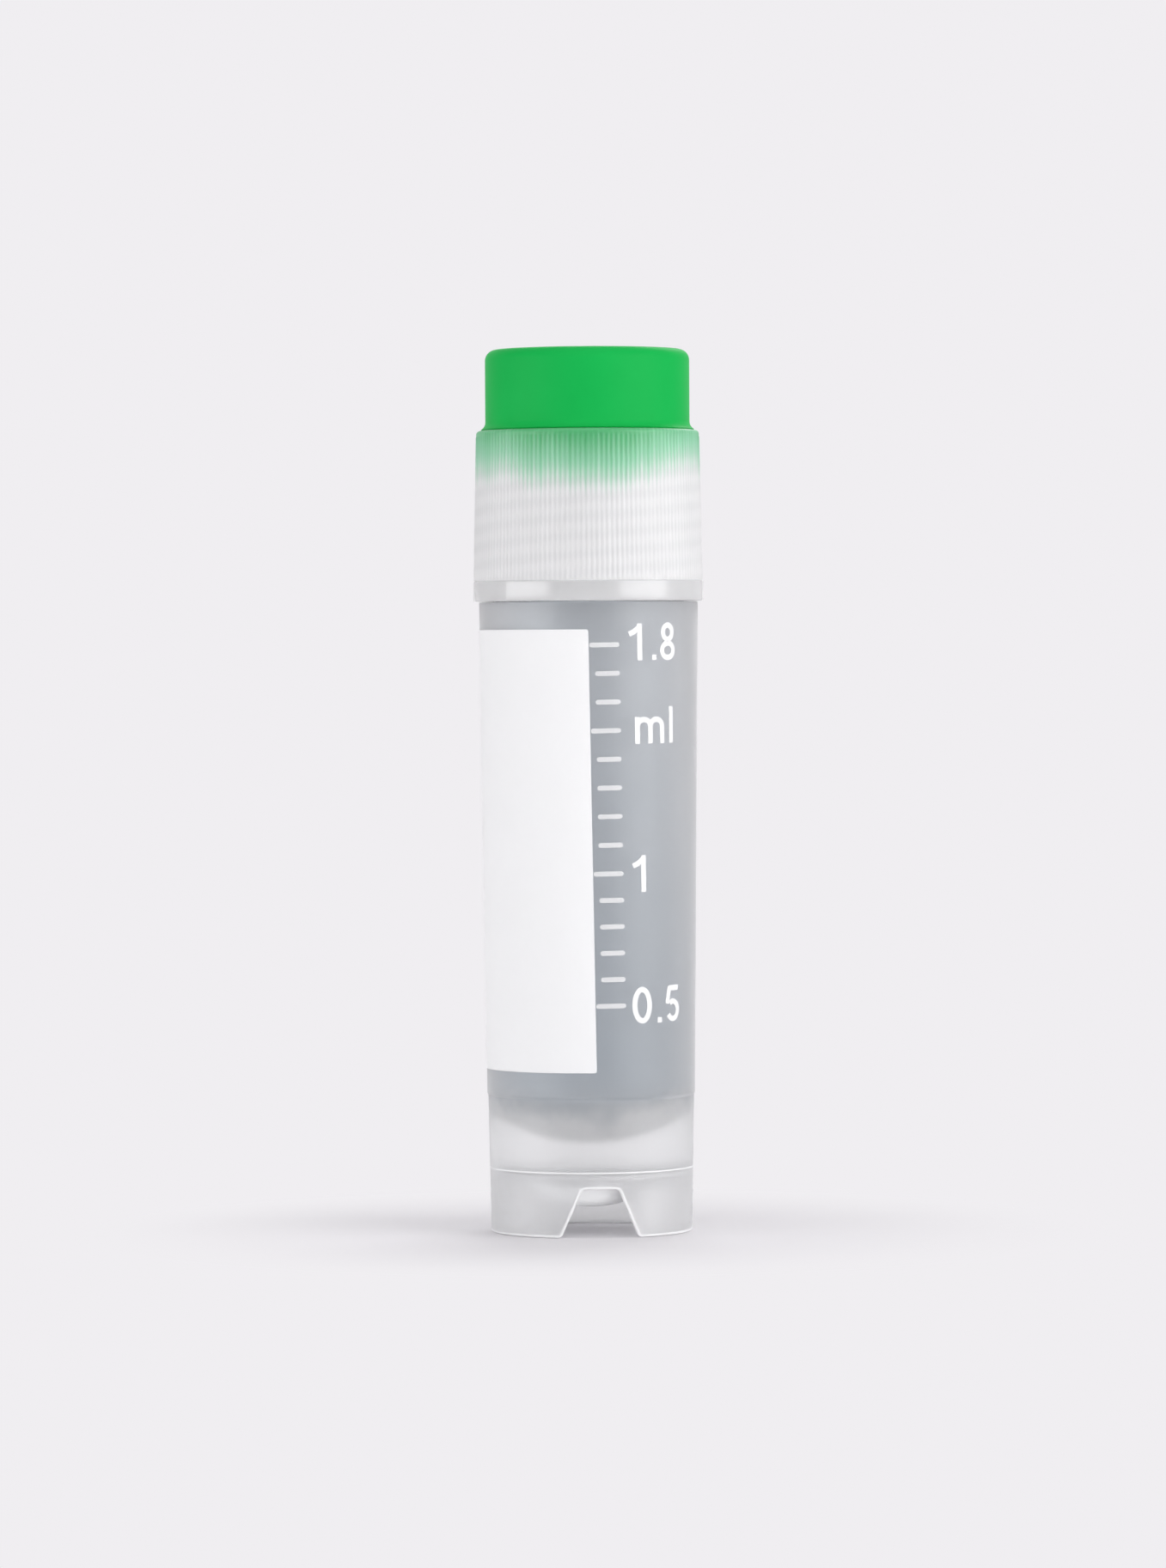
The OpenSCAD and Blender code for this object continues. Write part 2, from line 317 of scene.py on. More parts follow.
class Column:
    """A column of the tube's foot, where the outline of the notches and legs crosses it. In a
    notch x runs across it, and on a leg x is a share of the leg's arc."""

    def __init__(self, centre, x, z, nx, nz, on_leg=False):
        self.centre = centre
        self.x = x
        self.z = z
        self.nx = nx
        self.nz = nz
        self.on_leg = on_leg

    def foot(self, edge_x, r, inset):
        """Angle and height of its foot on a surface of radius r, inset from the outline."""
        if self.on_leg:
            half_arc = math.degrees(math.asin(edge_x / r))
            leg_arc = 360.0 / NOTCHES - 2 * half_arc
            angle = self.centre + half_arc + leg_arc * self.x
        else:
            angle = self.centre + math.degrees(math.asin((self.x - self.nx * inset) / r))
        return angle, self.z - self.nz * inset


def foot_columns():
    """All columns round the foot, and half the width of a notch at its foot."""
    half = half_notch()
    mirrored = [(-x, z, -nx, nz) for x, z, nx, nz in half[:0:-1]]
    columns = []
    for n in range(NOTCHES):
        centre = NOTCH_TURN - 90.0 + 360.0 * n / NOTCHES
        columns += [Column(centre, *point) for point in mirrored + half]
        for i in range(1, LEG_STEPS):
            columns.append(Column(centre, i / LEG_STEPS, 0.0, 0.0, -1.0, on_leg=True))
    return columns, half[-1][0]


def outer_r(z):
    """Outside radius of the tube at a height below the shoulder."""
    if z < STEP_Z:
        return FOOT_R + (STEP_R - STEP_DEPTH - FOOT_R) * z / STEP_Z
    return STEP_R + (SHOULDER_R - STEP_R) * (z - STEP_Z) / (SHOULDER_Z - STEP_Z)


def skirt_in_r(z):
    """Inside radius of the foot skirt."""
    return FOOT_R - SKIRT_WALL - HOLLOW_TAPER * z / HOLLOW_Z


# material slots of the tube after the first one, satin, which a row has if it names none
# the rim slot is a pale, nearly opaque finish: a painted highlight on rounded rims and fillets
SMOOTH_FOOT, BORE, RIM_HIGHLIGHT, INSIDE, UNDERSIDE = range(1, 6)

DOME_STEPS = 14
DOME_MARGIN = 0.25
DOME_FILLET = ((0.1, 0.07), (0.0, 0.16))
SKIRT_EDGE = 0.08
SKIRT_TOP_GAP = 0.3
RIM_HIGHLIGHT_REACH = 0.15
SKIRT_LIFTS = (0.0, 0.33, 0.66, 1.0)
# a thin pale band round the outside of the foot just above the hollow's height: a painted
# highlight line, with no edge under it
PAINTED_HIGHLIGHT_LINE = ((0.07, RIM_HIGHLIGHT), (0.145, SMOOTH_FOOT))
FOOT_ROWS = (0.4, -0.1, 0.6)
STEP_ROWS = ((1.0, -0.02), (0.5, 0.03), (0.0, 0.08))
BARREL_ROWS = (0.2, -0.25, 1.1)
SHOULDER_EDGE = 0.06
NECK_FILLET = ((0.18, 0.0), (0.05, 0.05))
NECK_ROWS = (0.18, -0.15, 0.055)
RIM_OUT_R = 0.15
RIM_OUT_START = 18
RIM_IN_R = 0.12
BORE_ROWS = (0.0, -0.5, 1.4)
EDGE_STEPS = 4
KNUCKLE_STEPS = 10
DISH_STEPS = 12


def add_underside(tube):
    """Domed underside, from its pole outwards, and the fillet into the skirt."""
    rim_r = skirt_in_r(HOLLOW_Z)
    dome_r = (rim_r ** 2 + DOME_DROP ** 2) / (2 * DOME_DROP)
    dome_z = HOLLOW_Z - DOME_DROP + dome_r
    for i in range(DOME_STEPS + 1):
        r = (rim_r - DOME_MARGIN) * i / DOME_STEPS
        tube.plain(r, dome_z - math.sqrt(dome_r ** 2 - r ** 2), UNDERSIDE)
    for inset, drop in DOME_FILLET:
        tube.plain(rim_r - inset, HOLLOW_Z - drop, RIM_HIGHLIGHT)


def add_skirt(tube, columns, edge_x):
    """The skirt: its inner side downwards, its lower edge, and its outer side upwards.
    A painted highlight runs along its rounded edge as a pale band, and a thin painted highlight
    line runs round the foot at the hollow's height."""

    def row(finish, inside, inset, depth, lift=0.0):
        wall = skirt_in_r if inside else outer_r
        sunk = depth if inside else -depth
        top_z = HOLLOW_Z - SKIRT_TOP_GAP if inside else HOLLOW_Z
        points = []
        for column, top_a in zip(columns, tube.angles):
            low_a, low_z = column.foot(edge_x, wall(column.z) + sunk, inset)
            z = low_z + (top_z - low_z) * lift
            points.append((low_a + (top_a - low_a) * lift, wall(z) + sunk, z))
        tube.add(points, finish)

    tuck = SKIRT_EDGE * (1 - math.sqrt(0.5))
    rounding = ((SKIRT_EDGE, 0.0), (tuck, tuck), (0.0, SKIRT_EDGE))
    for lift in SKIRT_LIFTS[:0:-1]:
        row(SMOOTH_FOOT, True, SKIRT_EDGE, 0.0, lift)
    for inset, depth in rounding:
        row(RIM_HIGHLIGHT, True, inset, depth)
    for inset, depth in reversed(rounding):
        row(RIM_HIGHLIGHT, False, inset, depth)
    for lift in SKIRT_LIFTS:
        row(SMOOTH_FOOT, False, RIM_HIGHLIGHT_REACH, 0.0, lift)
    # the thin painted highlight line round the foot
    for lift, finish in PAINTED_HIGHLIGHT_LINE:
        tube.plain(outer_r(HOLLOW_Z + lift), HOLLOW_Z + lift, finish)


def add_barrel(tube):
    """Outside of the tube: the foot, the mould step, the barrel and the shoulder."""
    for z in rows_between(HOLLOW_Z, STEP_Z, FOOT_ROWS):
        tube.plain(outer_r(z), z, SMOOTH_FOOT)
    for share, rise in STEP_ROWS:
        tube.plain(STEP_R - STEP_DEPTH * share, STEP_Z + rise)
    for z in rows_between(STEP_Z, SHOULDER_Z, BARREL_ROWS):
        tube.plain(outer_r(z), z)
    tube.follow(arc(SHOULDER_R - SHOULDER_EDGE, SHOULDER_Z - SHOULDER_EDGE, SHOULDER_EDGE,
                    0, 90, EDGE_STEPS))


def add_neck(tube):
    """Threaded neck and the tube's rim."""
    for reach, rise in NECK_FILLET:
        tube.plain(NECK_R + reach, SHOULDER_Z + rise)
    for z in rows_between(SHOULDER_Z, TUBE_H, NECK_ROWS):
        tube.add([(a, NECK_R + RIDGE * ridge_height(a, z, NECK_RIDGE_Z, NECK_TURNS), z)
                  for a in tube.angles])
    tube.follow(arc(NECK_R - RIM_OUT_R, TUBE_H - RIM_OUT_R, RIM_OUT_R,
                    RIM_OUT_START, 90, EDGE_STEPS))
    tube.follow(arc(BORE_R + RIM_IN_R, TUBE_H - RIM_IN_R, RIM_IN_R, 90, 180, EDGE_STEPS))


def add_bore(tube):
    """The bore downwards, the knuckle and the dished floor."""
    knuckle_x = BORE_R - KNUCKLE_R
    rise = math.sqrt((DISH_R - KNUCKLE_R) ** 2 - knuckle_x ** 2)
    bowl_z = FLOOR_Z + DISH_R - rise
    for z in reversed(rows_between(bowl_z, TUBE_H, BORE_ROWS)):
        tube.plain(BORE_R, z, BORE if z > bowl_z else INSIDE)
    meet = math.degrees(math.atan2(rise, knuckle_x))
    tube.follow(arc(knuckle_x, bowl_z, KNUCKLE_R, 0, -meet, KNUCKLE_STEPS)[1:], INSIDE)
    for r, z in arc(0, FLOOR_Z + DISH_R, DISH_R, -meet, -90, DISH_STEPS)[1:]:
        tube.plain(max(r, 0.0), z, INSIDE)


def make_tube():
    """The moulded tube. Its bands are satin outside, smooth at the foot and in the bore, clouded
    at the underside, and pale at thin rims and fillets, a painted highlight along those edges."""
    columns, edge_x = foot_columns()
    tube = Lathe([column.foot(edge_x, outer_r(HOLLOW_Z), 0)[0] for column in columns])
    add_underside(tube)
    add_skirt(tube, columns, edge_x)
    add_barrel(tube)
    add_neck(tube)
    add_bore(tube)
    return tube.build("tube_body", sharp=60.0)


# ---------------------------------------------------------------- cap
# material slots of the cap shell. A row has the first one if it names none
RIBBED, SMOOTH = range(2)

# shares of a rib's pitch: the two edges of its crest, then of the groove
RIB_CREST = (0.0, 0.2)
RIB_GROOVE = (0.5, 0.7)

DISC_STEPS = 4
DECK_CORNER = (0.12, 0.03)
CAP_THREAD_ROWS = (0.14, -0.12, 0.07)
LIP_DROP = 0.06
LIP_IN_R = 0.1
LIP_OUT_R = 0.06
RING_TOP = ((0.0, 0.08, SMOOTH), (0.012, 0.03, SMOOTH), (0.05, 0.0, RIBBED))
RIB_ROWS = (0.3, -0.2, 1.0)
RIB_START = 0.05
RIB_END = 0.03
BAND_RISE = 0.02
BAND_STEPS = 6
RECESS_BEVEL = 0.06
RECESS_CORNER = 0.05


def make_cap_shell():
    """The ribbed cap shell, with a smoother ring at its lower edge."""
    phases = RIB_CREST + RIB_GROOVE
    depths = ([0.0] * len(RIB_CREST) + [RIB_DEPTH] * len(RIB_GROOVE)) * RIBS
    cap = Lathe([360.0 / RIBS * (i + phase) for i in range(RIBS) for phase in phases])

    def ribbed(z):
        crest_r = RIB_FOOT_R + (RIB_TOP_R - RIB_FOOT_R) * (z - RIB_Z) / (RIB_TOP_Z - RIB_Z)
        cap.add([(a, crest_r - depth, z) for a, depth in zip(cap.angles, depths)], RIBBED)

    # underside of the deck and the threaded bore, downwards
    reach, drop = DECK_CORNER
    cap.follow([((CAP_BORE_R - reach) * i / DISC_STEPS, DECK_Z) for i in range(DISC_STEPS + 1)])
    cap.plain(CAP_BORE_R - drop, DECK_Z - drop)
    for z in reversed(rows_between(CAP_Z, DECK_Z, CAP_THREAD_ROWS)):
        cap.add([(a, CAP_BORE_R - RIDGE * ridge_height(a, z, CAP_RIDGE_Z, CAP_TURNS), z)
                 for a in cap.angles], RIBBED)

    # lower edge, a hair above the shoulder, and the smooth ring
    lip_z = CAP_Z - LIP_DROP
    cap.follow(arc(CAP_BORE_R + LIP_IN_R, lip_z + LIP_IN_R, LIP_IN_R, 180, 270, EDGE_STEPS),
               SMOOTH)
    cap.follow(arc(RING_R - LIP_OUT_R, lip_z + LIP_OUT_R, LIP_OUT_R, -90, 0, EDGE_STEPS), SMOOTH)
    for inset, below, finish in RING_TOP:
        cap.plain(RING_R - inset, RIB_Z - below, finish)

    # ribs, the smooth band and the upper face
    ribbed(RIB_Z + RIB_START)
    for z in rows_between(RIB_Z, RIB_TOP_Z, RIB_ROWS):
        ribbed(z)
    ribbed(RIB_TOP_Z - RIB_END)
    band_r = RIB_TOP_R - RIB_DEPTH / 2
    cap.plain(band_r, RIB_TOP_Z + BAND_RISE)
    cap.follow(arc(band_r - BAND_EDGE, CAP_TOP_Z - BAND_EDGE, BAND_EDGE, 0, 90, BAND_STEPS))

    # recess for the insert's plug, down to its floor and in to the axis
    recess_r = PLUG_R + PLUG_CLEAR
    cap.plain(recess_r + RECESS_BEVEL, CAP_TOP_Z)
    cap.plain(recess_r, CAP_TOP_Z - RECESS_BEVEL)
    cap.plain(recess_r, RECESS_Z + RECESS_CORNER)
    cap.plain(recess_r - RECESS_CORNER, RECESS_Z)
    for i in reversed(range(DISC_STEPS)):
        cap.plain((recess_r - 2 * RECESS_CORNER) * i / DISC_STEPS, RECESS_Z)
    return cap.build("cap_skirt", sharp=75.0)


INSERT_COLUMNS = 240
HOLLOW_EDGE = 0.2
HOLLOW_MARGIN = 0.3
PLUG_EDGE = 0.1
PLUG_TOP = ((0.0, 0.05), (0.02, 0.0))
FLARE_INSET = 0.04
FLARE_STEPS = 8
SIDE_ROWS = (0.9, -0.1, 0.8)
INSERT_EDGE_STEPS = 10
TOP_RADII = (4.6, 4.2, 2.6, 1.0, 0.0)


def make_insert():
    """The coloured insert: its hollow plug, the flare over the shell, and the rounded top."""
    insert = Lathe(even_angles(INSERT_COLUMNS))
    inner_r = PLUG_R - INSERT_WALL
    inner_top = INSERT_TOP_Z - INSERT_WALL
    insert.plain(0.0, inner_top)
    insert.plain(inner_r - HOLLOW_MARGIN, inner_top)
    insert.follow(arc(inner_r - HOLLOW_EDGE, inner_top - HOLLOW_EDGE, HOLLOW_EDGE,
                      90, 0, EDGE_STEPS))
    insert.plain(inner_r, RECESS_Z + PLUG_EDGE)
    insert.plain(inner_r + PLUG_EDGE, RECESS_Z)
    insert.plain(PLUG_R - PLUG_EDGE, RECESS_Z)
    insert.plain(PLUG_R, RECESS_Z + PLUG_EDGE)
    for reach, below in PLUG_TOP:
        insert.plain(PLUG_R + reach, CAP_TOP_Z - below)
    insert.plain(INSERT_R + FLARE - FLARE_INSET, CAP_TOP_Z)
    insert.follow(arc(INSERT_R + 2 * FLARE, CAP_TOP_Z + 2 * FLARE, 2 * FLARE,
                      240, 180, FLARE_STEPS))
    for z in rows_between(CAP_TOP_Z, INSERT_TOP_Z - INSERT_EDGE, SIDE_ROWS):
        insert.plain(INSERT_R, z)
    insert.follow(arc(INSERT_R - INSERT_EDGE, INSERT_TOP_Z - INSERT_EDGE, INSERT_EDGE,
                      0, 90, INSERT_EDGE_STEPS))
    insert.follow([(r, INSERT_TOP_Z) for r in TOP_RADII])
    return insert.build("cap_top_piece", sharp=60.0)


# ---------------------------------------------------------------- print
def wrap(x, z, lift, lean):
    """A point of the print on the tube's outside, from x across and z up in its leaning frame."""
    turned = math.radians(lean)
    across = x * math.cos(turned) - (z - PATCH_MID_Z) * math.sin(turned)
    up = PATCH_MID_Z + (z - PATCH_MID_Z) * math.cos(turned) + x * math.sin(turned)
    r = outer_r(up) + lift
    a = math.radians(-90 + PATCH_TURN) + across / outer_r(up)
    return Vector((r * math.cos(a), r * math.sin(a), up)) * MM


def ink_object(name, outlines, lean=PRINT_LEAN):
    """Thin ink solids. Each outline is a list of rows of (x, z), joined into a wrapped slab."""
    points = []
    faces = []
    for rows in outlines:
        base = len(points)
        height = len(rows)
        width = len(rows[0])
        for lift in (INK_GAP, INK_GAP + INK_T):
            for row in rows:
                points.extend(tuple(wrap(x, z, lift, lean)) for x, z in row)

        def at(level, j, i):
            return base + level * height * width + j * width + i

        for j in range(height - 1):
            for i in range(width - 1):
                faces.append((at(0, j, i), at(0, j + 1, i), at(0, j + 1, i + 1), at(0, j, i + 1)))
                faces.append((at(1, j, i), at(1, j, i + 1), at(1, j + 1, i + 1), at(1, j + 1, i)))
        border = [(0, i) for i in range(width)]
        border += [(j, width - 1) for j in range(1, height)]
        border += [(height - 1, i) for i in range(width - 2, -1, -1)]
        border += [(j, 0) for j in range(height - 2, 0, -1)]
        for (j0, i0), (j1, i1) in zip(border, border[1:] + border[:1]):
            faces.append((at(0, j0, i0), at(0, j1, i1), at(1, j1, i1), at(1, j0, i0)))
    mesh = bpy.data.meshes.new(name)
    mesh.from_pydata(points, [], faces)
    return make_object(name, mesh, sharp=40)


CORNER_PITCH = 0.03
PATCH_PITCH = 0.4
PATCH_COLUMNS = 120


def patch_rows():
    """Writing patch: square to the tube, apart from its right edge, which leans with the print."""
    low = PATCH_Z + PATCH_CORNER
    high = PATCH_TOP_Z - PATCH_CORNER
    heights = steps_between(PATCH_Z, low, CORNER_PITCH)[:-1]
    heights += steps_between(low, high, PATCH_PITCH)
    heights += steps_between(high, PATCH_TOP_Z, CORNER_PITCH)[1:]
    rows = []
    for z in heights:
        width = math.radians(PATCH_ARC) * outer_r(z)
        into = max(0.0, PATCH_CORNER - min(z - PATCH_Z, PATCH_TOP_Z - z))
        pull = PATCH_CORNER - math.sqrt(max(0.0, PATCH_CORNER ** 2 - into ** 2))
        edge = (PATCH_MID_Z - z) * slope(PRINT_LEAN) - pull
        reach = width - pull + edge
        rows.append([(edge - reach * i / PATCH_COLUMNS, z) for i in range(PATCH_COLUMNS + 1)])
    return rows


END_STEPS = 6
MARK_PITCH = 0.15
MARK_TIP = 0.012


def mark_rows(x0, x1, z):
    """One mark: a line with round ends."""
    r = MARK_W / 2
    turns = [math.pi / 2 * i / END_STEPS for i in range(END_STEPS + 1)]
    xs = [x0 + r - r * math.cos(t) for t in turns]
    xs += steps_between(x0 + r, x1 - r, MARK_PITCH)[1:-1]
    xs += [x1 - r + r * math.sin(t) for t in turns]
    low = []
    high = []
    for x in xs:
        end = max(0.0, x0 + r - x, x - x1 + r)
        half = max(MARK_TIP, math.sqrt(max(0.0, r * r - end * end)))
        low.append((x, z - half))
        high.append((x, z + half))
    return [low, high]


def all_marks():
    """Outlines and heights of the marks. Every fifth and the last one reach to the patch."""
    one_ml = MARK_LOW_Z + LOW_MARKS * LOW_PITCH
    heights = [MARK_LOW_Z + i * LOW_PITCH for i in range(LOW_MARKS)]
    heights += [one_ml + i * HIGH_PITCH for i in range(HIGH_MARKS)]
    outlines = []
    for i, z in enumerate(heights):
        long = i % LOW_MARKS == 0 or i == len(heights) - 1
        start = LONG_MARK_GAP if long else MARK_GAP
        outlines.append(mark_rows(start, MARK_GAP + MARK_LEN, z))
    return outlines, heights


def stroke_rows(points, closed=False):
    """A figure's stroke: a band of even width along a line of (x, z) points."""
    count = len(points)
    low = []
    high = []
    for i, (x, z) in enumerate(points):
        if closed:
            a, b = points[(i - 1) % (count - 1)], points[(i + 1) % (count - 1)]
        else:
            a, b = points[max(i - 1, 0)], points[min(i + 1, count - 1)]
        dx, dz = b[0] - a[0], b[1] - a[1]
        size = math.hypot(dx, dz)
        nx, nz = -dz / size * STROKE / 2, dx / size * STROKE / 2
        low.append((x - nx, z - nz))
        high.append((x + nx, z + nz))
    middle = [((a[0] + b[0]) / 2, (a[1] + b[1]) / 2) for a, b in zip(low, high)]
    return [low, middle, high]


LINE_PITCH = 0.12


def straight(*corners):
    """A line through its corners, in steps short enough to wrap round the tube."""
    points = [corners[0]]
    for (x0, z0), (x1, z1) in zip(corners, corners[1:]):
        steps = max(1, round(math.hypot(x1 - x0, z1 - z0) / LINE_PITCH))
        for i in range(1, steps + 1):
            points.append((x0 + (x1 - x0) * i / steps, z0 + (z1 - z0) * i / steps))
    return points


def oval(cx, cz, rx, rz, start=90.0, end=450.0, steps=40):
    """Points of an oval, or of a part of one."""
    turns = [math.radians(start + (end - start) * i / steps) for i in range(steps + 1)]
    return [(cx + rx * math.cos(t), cz + rz * math.sin(t)) for t in turns]


def figure_strokes(figure, x, z):
    """Strokes of a figure whose cell starts at x, with its foot at z. The bare numbers are the
    shape of the figure itself, in millimetres or as shares of its size."""
    h = STROKE / 2
    w = FIGURE_W
    top = z + FIGURE_H
    mid = x + w / 2
    if figure == "1":
        stem = x + 0.58 * w
        flag = straight((stem - 0.02, top - 0.2), (x + 0.31 * w, top - 0.44),
                        (x + 0.07 * w, top - 0.56))
        return [stroke_rows(straight((stem, z), (stem, top))), stroke_rows(flag)]
    if figure == "0":
        return [stroke_rows(oval(mid, z + FIGURE_H / 2, w / 2 - 0.02 - h, FIGURE_H / 2 - h),
                            True)]
    if figure == "8":
        upper = FIGURE_H * 0.245
        lower = FIGURE_H / 2 - upper
        loops = [oval(mid, top - upper - 0.02, w / 2 - 0.13 - h, upper - h + 0.04),
                 oval(mid, z + lower, w / 2 - 0.05 - h, lower - h + 0.03)]
        return [stroke_rows(loop, True) for loop in loops]
    if figure == "5":
        bowl = FIGURE_H * 0.31
        bar = straight((x + w - 0.17, top - h), (x + 0.24 * w + 0.02, top - h),
                       (x + 0.13 * w, z + 0.50 * FIGURE_H))
        arch = oval(mid - 0.02, z + bowl + 0.02, w / 2 - 0.06 - h, bowl - h, 128.0, -150.0, 30)
        return [stroke_rows(bar), stroke_rows(arch)]
    if figure == ".":
        return [stroke_rows(straight((x + 0.14, z + h), (x + 0.14 + STROKE, z + h)))]
    if figure == "l":
        return [stroke_rows(straight((x + h, z), (x + h, top)))]

    # the remaining figure is the m
    small = FIGURE_H * 0.73
    half = 0.80
    arch_r = half / 2
    strokes = [stroke_rows(straight((x + h, z), (x + h, z + small)))]
    for i in range(2):
        cx = x + h + half * (i + 0.5)
        arch = oval(cx, z + small - h - arch_r * 0.95, arch_r, arch_r * 0.95, 165.0, 0.0, 14)
        strokes.append(stroke_rows(arch + straight(arch[-1], (cx + arch_r, z))[1:]))
    return strokes


def make_numbers(heights):
    """Figures of the scale, drawn as strokes and wrapped on the tube. Each line has its figures
    with their places across, and the height of its foot."""
    lines = [
        ([("1", 0.0), (".", 1.34), ("8", 1.98)], heights[-1] - 0.87),
        ([("m", 0.35), ("l", 2.63)], heights[-1] - 5.35),
        ([("1", 0.0)], heights[LOW_MARKS] - 1.03),
        ([("0", -0.11), (".", 1.35), ("5", 2.05)], heights[0] - 1.0),
    ]
    strokes = []
    for figures, z in lines:
        for figure, x in figures:
            strokes += figure_strokes(figure, FIGURE_X + x, z)
    return ink_object("scale_numbers", strokes)


# ---------------------------------------------------------------- materials
# A noise's scale is in swells per metre, and a bump's distance is in metres.
def rgb(r, g, b):
    """A colour in the linear values that shaders take."""
    return (r, g, b, 1)


class Nodes:
    """Short hand for building the node tree of a material or a world."""

    def __init__(self, owner, output="ShaderNodeOutputMaterial"):
        owner.use_nodes = True
        self.owner = owner
        self.tree = owner.node_tree
        self.tree.nodes.clear()
        self.output = self.add(output)

    def feed(self, socket, value):
        """Link a socket to another one, or give it a constant."""
        if isinstance(value, bpy.types.NodeSocket):
            self.link(value, socket)
        else:
            socket.default_value = value

    def add(self, kind, **settings):
        """A node. A setting is a property, an input by its name with _ for a space, or an input
        by its number, such as in0."""
        node = self.tree.nodes.new(kind)
        for key, value in settings.items():
            if key in ("operation", "data_type"):
                setattr(node, key, value)
            elif key.startswith("in"):
                self.feed(node.inputs[int(key[2:])], value)
            else:
                self.feed(node.inputs[key.replace("_", " ")], value)
        return node

    def link(self, a, b):
        self.tree.links.new(a, b)

    def position(self):
        return self.add("ShaderNodeTexCoord").outputs["Object"]

    def scaled(self, vector, sx, sy, sz):
        return self.add("ShaderNodeMapping", Vector=vector, Scale=(sx, sy, sz)).outputs[0]

    def split(self, vector):
        return self.add("ShaderNodeSeparateXYZ", Vector=vector).outputs

    def height_mm(self, vector):
        return self.math("MULTIPLY", self.split(vector)["Z"], 1 / MM)

    def noise(self, vector, scale, detail=2.0, roughness=0.5):
        return self.add("ShaderNodeTexNoise", Vector=vector, Scale=scale, Detail=detail,
                        Roughness=roughness).outputs["Fac"]

    def remap(self, value, low, high, to_low, to_high, smooth=True):
        node = self.add("ShaderNodeMapRange", Value=value, From_Min=low, From_Max=high,
                        To_Min=to_low, To_Max=to_high)
        node.interpolation_type = "SMOOTHSTEP" if smooth else "LINEAR"
        return node.outputs[0]

    def mix(self, factor, a, b):
        """Mix of two colours."""
        return self.add("ShaderNodeMix", data_type="RGBA", in0=factor, in6=a, in7=b).outputs[2]

    def blend(self, factor, a, b):
        """Mix of two numbers."""
        return self.add("ShaderNodeMix", data_type="FLOAT", in0=factor, in2=a, in3=b).outputs[0]

    def math(self, operation, a, b=0.0):
        return self.add("ShaderNodeMath", operation=operation, in0=a, in1=b).outputs[0]

    def sum(self, first, *others):
        for other in others:
            first = self.math("ADD", first, other)
        return first

    def bump(self, height, distance, strength=1.0):
        return self.add("ShaderNodeBump", Height=height, Distance=distance,
                        Strength=strength).outputs[0]

    def principled(self, **settings):
        node = self.add("ShaderNodeBsdfPrincipled", **settings)
        self.link(node.outputs[0], self.output.inputs[0])
        return node


POLYPROPYLENE_IOR = 1.49
GRAIN_DEPTH = 0.01 * MM
FINE_GRAIN_DEPTH = 0.008 * MM
INK_GRAIN_DEPTH = 0.006 * MM

# how far light spreads inside
RIB_BLUR = 0.6 * MM
INK_BLUR = 0.1 * MM

# the foot is milky up to the first height and clear from the second. There the barrel starts
# to cloud again, up to a share of milky at its shoulder; that paling is partly the thicker wall
# and partly painted light that lifts the shade under the cap ring
FOOT_MILKY_Z = 5.9
FOOT_CLEAR_Z = 8.0
SHOULDER_MILKY_AND_PAINTED_LIGHT = 0.52


def polypropylene(name, dark, light, roughness, clear, milky=None, texture=1.0, sheen=0.0,
                  gloss=0.5):
    """Natural polypropylene: clouded and satin, with faint upright flow streaks from the mould.
    milky gives the darkest and lightest colour where the tube is thick: at its foot, and a
    little towards its shoulder, where the paling is partly the thicker wall and partly painted
    light that lifts the shade under the cap ring."""
    n = Nodes(bpy.data.materials.new(name))
    p = n.position()
    cloud = n.noise(p, 260.0, 3.0)
    grain = n.noise(p, 5200.0, 2.0)
    streak = n.noise(n.scaled(p, 900.0, 900.0, 90.0), 1.0, 2.0)
    relief = n.sum(n.math("MULTIPLY", grain, 0.4), streak)
    colour = n.mix(cloud, dark, light)
    shader = n.principled(Base_Color=colour, Roughness=roughness, IOR=POLYPROPYLENE_IOR,
                          Transmission_Weight=clear, Sheen_Weight=sheen, Sheen_Roughness=0.5,
                          Specular_IOR_Level=gloss,
                          Normal=n.bump(relief, GRAIN_DEPTH, 0.5 * texture))
    if milky:
        height = n.height_mm(p)
        uneven = n.sum(height, n.remap(cloud, 0.3, 0.7, -0.8, 0.8))
        foot = n.remap(uneven, FOOT_MILKY_Z, FOOT_CLEAR_Z, 1.0, 0.0)
        # paler towards the shoulder: partly the thicker wall, partly painted light against the cap
        # ring's shade
        barrel = n.remap(height, FOOT_CLEAR_Z, SHOULDER_Z, 0.0, SHOULDER_MILKY_AND_PAINTED_LIGHT, smooth=False)
        thick = n.math("MAXIMUM", foot, barrel)
        n.link(n.mix(thick, colour, n.mix(cloud, *milky)), shader.inputs["Base Color"])
    return n.owner


